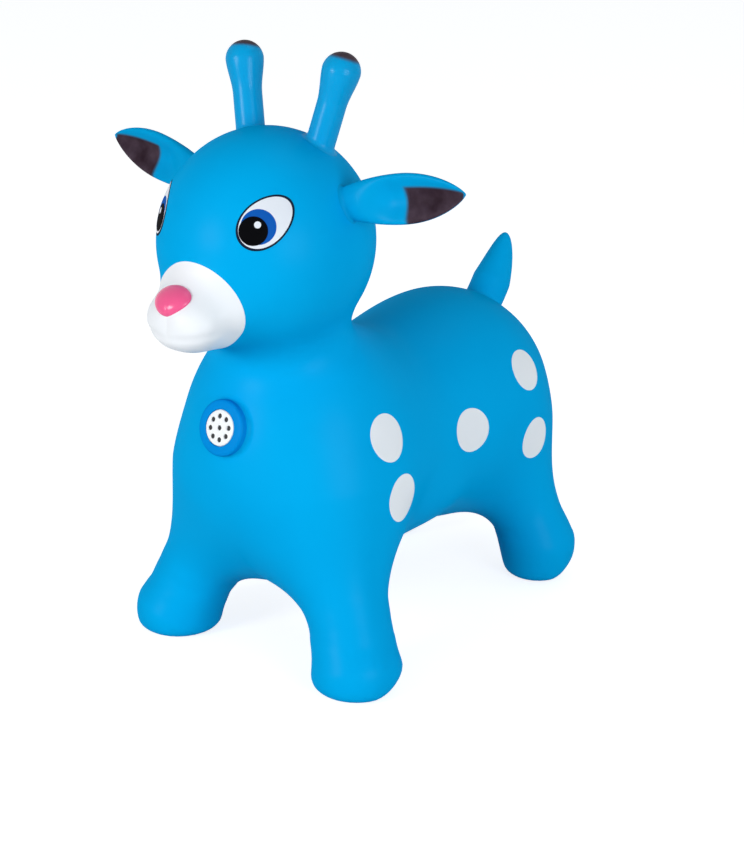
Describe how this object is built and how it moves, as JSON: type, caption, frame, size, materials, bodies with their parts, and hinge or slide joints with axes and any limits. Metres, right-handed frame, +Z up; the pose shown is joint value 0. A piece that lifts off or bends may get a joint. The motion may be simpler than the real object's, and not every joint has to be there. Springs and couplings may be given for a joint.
{
  "type": "inflatable hopper animal",
  "caption": "Sit-on inflatable hopper shaped like a young deer, with short legs, flexing ears, horns and tail, an air plug and a press-to-play music box in the chest.",
  "frame": {"origin": "on the floor, at the centre of the whole toy's footprint box", "axes": "+Z up, the animal faces -Y, +X is the animal's left side"},
  "size_m": [0.3586, 0.4627, 0.5019],
  "materials": {
    "vinyl_skin": "satin soft vinyl, bright sky blue",
    "plug_plastic": "milky soft plastic",
    "bezel_plastic": "satin royal blue",
    "white_plastic": "satin white",
    "black_plastic": "matt black",
    "board": "green solder resist",
    "steel": "plated steel",
    "cone_paper": "pressed paper",
    "red_lead": "red wire insulation"
  },
  "bodies": {
    "skin": {"skin": "vinyl_skin"},
    "horn_left": {"horn_left": "vinyl_skin"},
    "horn_right": {"horn_right": "vinyl_skin"},
    "ear_left": {"ear_left": "vinyl_skin"},
    "ear_right": {"ear_right": "vinyl_skin"},
    "tail": {"tail": "vinyl_skin"},
    "air_plug": {"air_plug": "plug_plastic"},
    "music_box": {"music_bezel": "bezel_plastic", "speaker_frame": "steel", "speaker_cone": "cone_paper", "speaker_magnet": "steel", "circuit_board": "board", "melody_chip": "black_plastic", "press_switch": "black_plastic", "speaker_lead_left": "red_lead", "speaker_lead_right": "black_plastic", "battery_tray": "black_plastic", "battery_cell_1": "steel", "battery_cell_2": "steel", "battery_cell_3": "steel", "battery_contact_front": "steel", "battery_contact_rear": "steel", "rear_case": "black_plastic", "battery_door": "black_plastic", "door_screw": "steel"},
    "music_button": {"music_button": "white_plastic", "switch_plunger": "white_plastic"}
  },
  "joints": [
    {"name": "ear_left_flex", "type": "hinge", "parent": "skin", "child": "ear_left", "pos_m": [0.07559, -0.10085, 0.39285], "axis": [-0.1869, -0.0137, 0.9823], "range_deg": [-25, 25], "stiffness_Nm_per_rad": 0.8},
    {"name": "ear_right_flex", "type": "hinge", "parent": "skin", "child": "ear_right", "pos_m": [-0.07559, -0.10085, 0.39285], "axis": [0.1869, -0.0137, 0.9823], "range_deg": [-25, 25], "stiffness_Nm_per_rad": 0.8},
    {"name": "horn_left_flex", "type": "hinge", "parent": "skin", "child": "horn_left", "pos_m": [0.0356, -0.08473, 0.43125], "axis": [0.9731, -0.038, -0.2273], "range_deg": [-14, 14], "stiffness_Nm_per_rad": 1.2},
    {"name": "horn_right_flex", "type": "hinge", "parent": "skin", "child": "horn_right", "pos_m": [-0.0356, -0.08473, 0.43125], "axis": [0.9731, 0.038, 0.2273], "range_deg": [-14, 14], "stiffness_Nm_per_rad": 1.2},
    {"name": "tail_flex", "type": "hinge", "parent": "skin", "child": "tail", "pos_m": [0, 0.19063, 0.23623], "axis": [1, 0, 0], "range_deg": [-20, 20], "stiffness_Nm_per_rad": 1.2},
    {"name": "air_plug_pull", "type": "slide", "parent": "skin", "child": "air_plug", "axis": [0, 0, -1], "range_m": [0, 0.016]},
    {"name": "music_box_pull", "type": "slide", "parent": "skin", "child": "music_box", "axis": [0, -0.962, 0.273], "range_m": [0, 0.03]},
    {"name": "music_button_press", "type": "slide", "parent": "music_box", "child": "music_button", "axis": [0, 0.962, -0.273], "range_m": [0, 0.0008], "stiffness_N_per_m": 2000}
  ]
}
